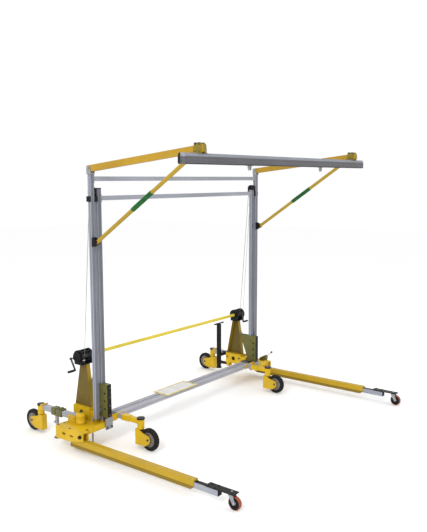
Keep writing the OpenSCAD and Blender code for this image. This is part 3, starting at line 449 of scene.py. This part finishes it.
# Much darker copy of the post paint for the faces along X: painted shade.
post_painted_shade = paint("post_shade_coat", (0.155, 0.105, 0.012), (0.115, 0.080, 0.010), rough=0.5)
lemon = paint("lemon_coat", (0.72, 0.58, 0.045), (0.64, 0.50, 0.04), wear_amount=0.3)
olive = paint("olive_coat", (0.150, 0.142, 0.036), (0.100, 0.098, 0.026), rough=0.45)
olive_gold = paint("hanger_coat", (0.26, 0.19, 0.022), (0.15, 0.12, 0.02), rough=0.45)
black = paint("black_coat", (0.009, 0.009, 0.010), (0.006, 0.006, 0.007),
              wear=(0.12, 0.12, 0.13), grime=0.05, gloss=0.12)
shoe_front = paint("shoe_front_coat", (0.010, 0.010, 0.010), (0.007, 0.007, 0.008),
                   grime=0.05, gloss=0.15, foot=0.335)
bar_alu = extrusion("bar_aluminium", (0.34, 0.35, 0.40), (0.29, 0.30, 0.345), "X", 0.46, 0.15)
base_alu = extrusion("base_aluminium", (0.44, 0.44, 0.49), (0.37, 0.37, 0.42), "X", 0.46, 0.15)
tube_alu = extrusion("tube_aluminium", (0.36, 0.38, 0.43), (0.30, 0.315, 0.36), "Y", 0.44, 0.2)
# The columns use two copies of one aluminium: the darker copy is painted shade on the faces along Y, and
# the lighter copy is painted light on the faces along X.
fixed_alu = extrusion("fixed_aluminium", (0.175, 0.185, 0.22), (0.15, 0.158, 0.19), "Z", 0.42, 0.2,
                      FIXED_COLUMN)
lift_alu = extrusion("lift_aluminium", (0.215, 0.225, 0.265), (0.185, 0.192, 0.23), "Z", 0.42, 0.2,
                     LIFT_COLUMN)
fixed_lit = extrusion("fixed_pale_aluminium", (0.33, 0.345, 0.40), (0.28, 0.295, 0.345), "Z",
                       0.42, 0.2, FIXED_COLUMN)
lift_lit = extrusion("lift_pale_aluminium", (0.36, 0.375, 0.44), (0.31, 0.325, 0.385), "Z",
                      0.42, 0.2, LIFT_COLUMN)
# Lighter copy for the up-facing bevel of the track: painted light.
rail_lit_bevel = extrusion("track_lit_bevel", (0.28, 0.29, 0.33), (0.24, 0.25, 0.285), "X", 0.42, 0.2)
rail_face = track("track_face")
rail_cap = end_cap("track_cap", -0.968)
# Near-black copy for the underside of the track: painted shade.
rail_shaded_under = paint("track_shaded_under", (0.014, 0.014, 0.017), (0.010, 0.010, 0.013),
                   grime=0.0, rough=0.5, gloss=0.15)
plate_look = plain_plate("plate_coat", "centre_plate")
zinc = steel("zinc_steel", (0.34, 0.34, 0.36))
dark_steel = steel("dark_steel", (0.045, 0.045, 0.05), rough=0.38, spots=0.2)
winch_rope = rope_steel("winch_rope", (1.525, 0.843), 0.0828)
fall_rope = steel("fall_rope", (0.17, 0.17, 0.18), rough=0.36, spots=0.35)
screw_steel = threaded_steel("screw_steel", (1.575, 0.595))
green = moulded("green_sleeve", (0.007, 0.110, 0.018), rough=0.5)
rubber = moulded("black_rubber", (0.009, 0.009, 0.010), rough=0.62, grain=0.4)
tyre = moulded("tyre_rubber", (0.010, 0.010, 0.011), rough=0.72, grain=0.5)
red_tyre = moulded("red_tread", (0.34, 0.085, 0.040), rough=0.5)
disc = paint("wheel_disc", (0.27, 0.245, 0.20), (0.20, 0.18, 0.145), wear_amount=0.3, grime=0.0)

assign(bar_alu, "lower_crossbar", "upper_crossbar")
assign(base_alu, "base_rails")
assign(tube_alu, "rear_tubes", "leg_inner_l", "leg_inner_r")
assign(fixed_alu, "fixed_masts")
assign(lift_alu, "lift_mast_l", "lift_mast_r")
assign(rail_face, "rail")
assign(plate_look, "centre_plate")
assign(lemon, "tie_bar")
assign(yellow, "tower_base_l", "tower_base_r")
assign(socket_yellow, "caster_sockets")
assign(yellow, "fork_front_l", "fork_front_r", "fork_rear_l", "fork_rear_r")
assign(gold, "arm_l", "arm_r")
assign(post_gold, "winch_posts")
assign(brace_gold, "braces")
assign(leg_gold, "leg_outer_l", "leg_outer_r")
assign(olive, "mast_shoes", "jack_clamp_l")
assign(black, "guide_blocks", "winch_frame_l", "winch_frame_r", "mast_heads", "rail_fittings")
assign(black, "jack_column_r", "jack_handle_r", "jack_foot_r", "jack_leg_l")
assign(dark_steel, "winch_crank_l", "winch_crank_r", "sheave_l", "sheave_r", "winch_drum_l", "winch_drum_r")
assign(zinc, "trolley_l", "trolley_r", "fork_leg_l", "fork_leg_r", "latch_pin_r")
assign(screw_steel, "front_jack_l", "front_jack_r")
assign(winch_rope, "winch_cables")
assign(rubber, "latch_pin_l")
assign(green, "brace_sleeves")


def on_cap(c, n):
    """True on the domed cap over either caster stem."""
    near = min(math.hypot(abs(c.x) - x, c.y - y) for x, y in STEMS.values())
    return c.z > 0.3335 and near < 0.0465


recolour(black, on_cap, "caster_sockets")
# Up-facing track faces get the lighter copy (painted light), down-facing ones the near-black copy (painted
# shade).
recolour(rail_lit_bevel, lambda c, n: n.z > 0.2, "rail")
recolour(rail_shaded_under, lambda c, n: n.z < -0.3, "rail")
# Column faces that point along X get the lighter copy: painted light.
recolour(fixed_lit, lambda c, n: abs(n.x) > 0.7, "fixed_masts")
recolour(lift_lit, lambda c, n: abs(n.x) > 0.7, "lift_mast_l", "lift_mast_r")
recolour(black, lambda c, n: c.z > 0.1448, "leg_inner_l", "leg_inner_r")
recolour(shoe_front, lambda c, n: c.y < 0.4255, "mast_shoes")
recolour(dark_steel, lambda c, n: c.y < 0.4165, "mast_shoes")
recolour(black, lambda c, n: c.x > 1.417, "tie_bar")
recolour(zinc, lambda c, n: c.z > 2.96, "mast_heads")
recolour(rail_cap, lambda c, n: abs(c.x) > 1.80, "rail_fittings")
recolour(olive_gold, lambda c, n: c.z > 3.2393, "rail_fittings")
recolour(olive_gold, lambda c, n: c.y < -0.99 and n.y < -0.5, "arm_l", "arm_r")
# The post faces along X get the darker copy: painted shade.
recolour(post_painted_shade, lambda c, n: abs(n.x) > 0.7, "winch_posts")
recolour(zinc, lambda c, n: c.z < 0.285, "jack_clamp_l")
recolour(zinc, lambda c, n: 0.010 < c.z < 0.17, "jack_leg_l")
recolour(dark_steel, lambda c, n: abs(abs(c.x) - LIFT_COLUMN[0]) > 0.0336 and c.z > 3.27,
         "rail_fittings")
recolour(dark_steel, lambda c, n: abs(abs(c.x) - LIFT_COLUMN[0]) > 0.0282, "arm_l", "arm_r")
recolour(dark_steel, lambda c, n: c.z > 0.3432, "centre_plate")
recolour(dark_steel, lambda c, n: abs(c.x) < 1.4295 and c.z > 0.33, "tower_base_l", "tower_base_r")
recolour(rubber, lambda c, n: abs(c.x) > 1.6695, "winch_crank_l", "winch_crank_r")
recolour(rubber, lambda c, n: c.z > 0.402, "latch_pin_r")
for hand, way in HANDS:
    for place, (x, _) in STEMS.items():
        recolour(dark_steel, lambda c, n, m=way * x: abs(c.x - m) > 0.0362 and c.z < 0.16,
                 "fork_" + place + "_" + hand)


# ---------------------------------------------------------------- detailed pieces

def piece(name, bm, materials, body, place=(0, 0, 0), angle=35.0):
    bmesh.ops.recalc_face_normals(bm, faces=bm.faces)
    mesh = bpy.data.meshes.new(name)
    bm.to_mesh(mesh)
    bm.free()
    for material in materials:
        mesh.materials.append(material)
    mesh.shade_smooth()
    mesh.set_sharp_from_angle(angle=math.radians(angle))
    obj = bpy.data.objects.new(name, mesh)
    obj.location = place
    bpy.context.scene.collection.objects.link(obj)
    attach(obj, body)
    return obj


def circle(bm, x, y, z, radius, steps):
    """Ring of points about an upright axis."""
    turns = [2 * math.pi * i / steps for i in range(steps)]
    return [bm.verts.new((x + radius * math.cos(a), y + radius * math.sin(a), z)) for a in turns]


def loft(bm, rings):
    """Skin over a row of rings, with a cap at each end."""
    made = [bm.faces.new(rings[0][::-1]), bm.faces.new(rings[-1])]
    for low, high in zip(rings, rings[1:]):
        for i in range(len(low)):
            j = (i + 1) % len(low)
            made.append(bm.faces.new((low[i], low[j], high[j], high[i])))
    return made


def revolve(bm, outline, steps, depth=None, material=0):
    """Closed outline of (x, radius) turned about the X axis."""
    rings = []
    for k in range(steps):
        turn = 2 * math.pi * k / steps
        ring = []
        for x, radius in outline:
            r = radius - (depth(x, radius, k) if depth else 0.0)
            ring.append(bm.verts.new((x, r * math.cos(turn), r * math.sin(turn))))
        rings.append(ring)
    for k in range(steps):
        a, b = rings[k], rings[(k + 1) % steps]
        for i in range(len(outline)):
            j = (i + 1) % len(outline)
            face = bm.faces.new((a[i], a[j], b[j], b[i]))
            face.material_index = material


def prism(bm, centre, axis, radius, length, sides=6, bevel=0.0, material=0):
    """Bevelled prism from centre along axis, for nuts, heads and bosses."""
    turn = Vector(axis).normalized().to_track_quat("Z", "Y").to_matrix()
    rings = []
    for z, r in ((0.0, radius), (length - bevel, radius), (length, radius - bevel)):
        ring = []
        for i in range(sides):
            a = 2 * math.pi * (i + 0.5) / sides
            point = turn @ Vector((r * math.cos(a), r * math.sin(a), z))
            ring.append(bm.verts.new(Vector(centre) + point))
        rings.append(ring)
    for face in loft(bm, rings):
        face.material_index = material


def bolt(bm, centre, axis, across, height):
    """Hexagon head on a round washer."""
    washer = 0.0016
    axis = Vector(axis).normalized()
    prism(bm, centre, axis, across * 0.68, washer, 24, 0.0004)
    prism(bm, Vector(centre) + axis * washer, axis, across * 0.56, height, 6, 0.0012)


def mirrored(points):
    """Half an outline of (x, radius), closed with its mirror image in x."""
    return points + [(-x, r) for x, r in reversed(points)]


def main_wheel():
    """Treaded tyre, rim with a web, and hub with five bolts, about the X axis."""
    bm = bmesh.new()
    crown = [(-0.0205, 0.0775), (-0.0228, 0.0830), (-0.0245, 0.0920), (-0.0250, 0.1010),
             (-0.0247, 0.1100), (-0.0235, 0.1170), (-0.0215, 0.1225), (-0.0185, 0.1252),
             (-0.0150, 0.1264), (-0.0115, 0.1268), (-0.0080, 0.1269), (-0.0045, 0.1270),
             (-0.0038, 0.1270), (-0.0012, 0.1270)]

    def lugs(x, radius, k):
        """Depth of the tread: one groove round the middle, and slanted ones either side."""
        if radius < 0.121:
            return 0.0
        if abs(x) < 0.002:
            return 0.0025
        return 0.0026 if (k + round(abs(x) * 210)) % 6 < 2 and abs(x) > 0.004 else 0.0

    revolve(bm, mirrored(crown) + [(0.018, 0.0745), (-0.018, 0.0745)], 216, lugs)
    rim = [(-0.0225, 0.0812), (-0.0238, 0.0790), (-0.0215, 0.0742), (-0.0130, 0.0722),
           (-0.0095, 0.0690), (-0.0080, 0.0640), (-0.0080, 0.0400), (-0.0110, 0.0330)]
    revolve(bm, mirrored(rim) + [(0.0190, 0.0780), (-0.0190, 0.0780)], 96, None, 1)
    hub = [(-0.0270, 0.0083), (-0.0270, 0.0190), (-0.0256, 0.0212), (-0.0200, 0.0236),
           (-0.0115, 0.0345)]
    revolve(bm, mirrored(hub), 64, None, 2)
    web, bolt_circle, valve = 0.0078, 0.052, 0.066
    for way in (-1, 1):
        for i in range(5):
            a = 2 * math.pi * i / 5
            place = (way * web, bolt_circle * math.cos(a), bolt_circle * math.sin(a))
            prism(bm, place, (way, 0, 0), 0.0068, 0.006, 6, 0.001, 2)
    prism(bm, (-web, 0.0, valve), (-1, 0, 0), 0.0032, 0.012, 16, 0.0008, 2)
    return bm


def leg_wheel():
    """Small caster wheel: coloured tread on a dark core, about the X axis."""
    bm = bmesh.new()
    tread = [(-0.0165, 0.0475), (-0.0186, 0.0530), (-0.0190, 0.0590), (-0.0178, 0.0632),
             (-0.0145, 0.0653), (-0.0080, 0.0660)]
    revolve(bm, mirrored(tread) + [(0.0160, 0.0450), (-0.0160, 0.0450)], 128)
    tread_depth = 0.0605
    for face in bm.faces:
        middle = face.calc_center_median()
        if math.hypot(middle.y, middle.z) < tread_depth:
            face.material_index = 1
    core = [(-0.0178, 0.0500), (-0.0180, 0.0472), (-0.0110, 0.0430), (-0.0075, 0.0400),
            (-0.0075, 0.0220), (-0.0130, 0.0175)]
    revolve(bm, mirrored(core) + [(0.0140, 0.0480), (-0.0140, 0.0480)], 96, None, 1)
    hub = [(-0.0210, 0.0063), (-0.0210, 0.0120), (-0.0195, 0.0138), (-0.0120, 0.0185)]
    revolve(bm, mirrored(hub), 48, None, 2)
    return bm


def make_wheels():
    for kind, build, looks in (
        ("front", main_wheel, (tyre, disc, dark_steel)),
        ("rear", main_wheel, (tyre, disc, dark_steel)),
        ("leg", leg_wheel, (red_tyre, rubber, zinc)),
    ):
        for hand, _ in HANDS:
            node = "wheel_" + kind + "_" + hand
            low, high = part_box(node)
            middle = (low + high) / 2
            obj = piece(node + "_look", build(), looks, node, middle)
            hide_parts(node)


def make_falls():
    """Six laid strands over the length of each fall cable."""
    strands, steps = 6, 520
    lay = 0.048  # length in which a strand goes once round
    orbit, thick = 0.00198, 0.00098
    for hand, _ in HANDS:
        low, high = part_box("fall_cable_" + hand)
        middle = (low + high) / 2
        bm = bmesh.new()
        for strand in range(strands):
            rings = []
            for k in range(steps + 1):
                z = low.z + (high.z - low.z) * k / steps
                a = 2 * math.pi * (strand / strands + z / lay)
                x, y = middle.x + orbit * math.cos(a), middle.y + orbit * math.sin(a)
                rings.append(circle(bm, x, y, z, thick, 6))
            loft(bm, rings)
        obj = piece("fall_rope_" + hand, bm, (fall_rope,), "base_frame", angle=80)
        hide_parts("fall_cable_" + hand)
        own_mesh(obj)


def make_winch_hoods():
    """Black sheet cover bent round the back of each drum, with a row of bolts at both ends."""
    y, z = WINCH_AXLE
    inner, outer = 0.0735, 0.0758
    left, right = 1.4335, 1.5815
    turns = [math.radians(-50 + 150 * k / 40) for k in range(41)]
    for hand, way in HANDS:
        bm = bmesh.new()
        rings = []
        for a in turns:
            c, d = math.cos(a), math.sin(a)
            corners = ((left, inner), (right, inner), (right, outer), (left, outer))
            rings.append([bm.verts.new((way * x, y + r * c, z + r * d)) for x, r in corners])
        loft(bm, rings)
        for k in (3, 37):
            c, d = math.cos(turns[k]), math.sin(turns[k])
            for x in (1.450, 1.5075, 1.565):
                bolt(bm, (way * x, y + outer * c, z + outer * d), (0, c, d), 0.008, 0.0012)
        piece("winch_hood_" + hand, bm, (black,), "base_frame")


def block(bm, low, high, bevel, segments=3):
    """Block with rounded edges between two corners."""
    low, high = Vector(low), Vector(high)
    made = bmesh.ops.create_cube(bm, size=1.0)["verts"]
    bmesh.ops.scale(bm, vec=high - low, verts=made)
    bmesh.ops.translate(bm, vec=(low + high) / 2, verts=made)
    edges = [edge for edge in bm.edges if edge.verts[0] in made]
    bmesh.ops.bevel(bm, geom=edges, offset=bevel, segments=segments, affect="EDGES")


def sides(way, x0, x1):
    """The same stretch of X on either tower, lower end first."""
    return (x0, x1) if way > 0 else (-x1, -x0)


def make_knuckles():
    """Cast barrel and collar at the inner end of each rear tube, with a bolted cap."""
    outline = [(0.2625, 0.050), (0.268, 0.056), (0.285, 0.057), (0.292, 0.053), (0.345, 0.053),
               (0.352, 0.057), (0.366, 0.056), (0.378, 0.048), (0.386, 0.030), (0.390, 0.022)]
    deck_bolts = ((1.770, 0.470), (1.770, 0.850), (1.853, 0.850), (1.853, 0.660), (1.620, 0.462))
    x, y = 1.670, 0.684
    for hand, way in HANDS:
        bm = bmesh.new()
        loft(bm, [circle(bm, way * x, y, z, r, 56) for z, r in outline])
        x0, x1 = sides(way, 1.6345, 1.7055)
        block(bm, (x0, 0.700, 0.2625), (x1, 0.735, 0.372), 0.008)
        piece("tube_knuckle_" + hand, bm, (yellow,), "base_frame", angle=50)
        bm = bmesh.new()
        bolt(bm, (way * x, y, 0.3895), (0, 0, 1), 0.024, 0.009)
        for bolt_x, bolt_y in deck_bolts:
            bolt(bm, (way * bolt_x, bolt_y, 0.2615), (0, 0, 1), 0.016, 0.007)
        piece("deck_bolts_" + hand, bm, (dark_steel,), "base_frame")


def bead(bm, start, end, radius=0.0032):
    """Weld bead with overlapping ripples from one point to another."""
    start, end = Vector(start), Vector(end)
    way = end - start
    ripple = 0.0022
    count = max(6, int(way.length / ripple))
    turn = way.to_track_quat("Z", "Y").to_matrix()
    rings = []
    for k in range(count + 1):
        size = radius * (1.0 + 0.16 * math.sin(k * 1.7)) * (0.55 if k in (0, count) else 1.0)
        ring = []
        for i in range(6):
            a = math.pi * i / 3
            point = turn @ Vector((size * math.cos(a), size * math.sin(a), 0.0))
            ring.append(bm.verts.new(start + way * (k / count) + point))
        rings.append(ring)
    loft(bm, rings)


def make_welds():
    """Beads round the foot of each post and of the box it stands on, and along each leg socket."""
    feet = ((1.458, 1.514, 0.677, 0.946, 0.400), (1.430, 1.545, 0.675, 0.948, 0.262))
    for hand, way in HANDS:
        bm = bmesh.new()
        for x0, x1, y0, y1, z in feet:
            a, b = way * x0, way * x1
            bead(bm, (a, y0, z), (b, y0, z))
            bead(bm, (b, y0, z), (b, y1, z))
            bead(bm, (b, y1, z), (a, y1, z))
            bead(bm, (a, y1, z), (a, y0, z))
        bead(bm, (way * 1.7835, 0.440, 0.2505), (way * 1.7835, 0.860, 0.2505))
        piece("weld_beads_" + hand, bm, (yellow,), "base_frame", angle=70)


def make_mast_cover():
    """Black sheet wrapped round the top of the right fixed column, with two screws."""
    foot, top = 2.8440, 2.8935
    bm = bmesh.new()
    block(bm, (1.4490, 0.4990, foot), (1.4512, 0.5515, top), 0.0009, 2)
    block(bm, (1.4490, 0.4988, foot), (1.4990, 0.5010, top), 0.0009, 2)
    for z in (2.857, 2.881):
        bolt(bm, (1.4755, 0.4989, z), (0, -1, 0), 0.007, 0.002)
    piece("mast_cover_r", bm, (black,), "base_frame")


def make_end_plugs():
    """Black moulded plug in the open front end of each inner leg tube."""
    half, front, back, z = 0.030, -1.4115, -1.4055, 0.115
    for hand, _ in HANDS:
        low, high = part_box("leg_inner_" + hand)
        x = (low.x + high.x) / 2
        bm = bmesh.new()
        block(bm, (x - half, front, z - half), (x + half, back, z + half), 0.0022)
        piece("leg_plug_" + hand, bm, (rubber,), "leg_inner_" + hand)


make_wheels()
make_falls()
make_winch_hoods()
make_knuckles()
make_end_plugs()
make_welds()
make_mast_cover()
make_camera()
make_studio()
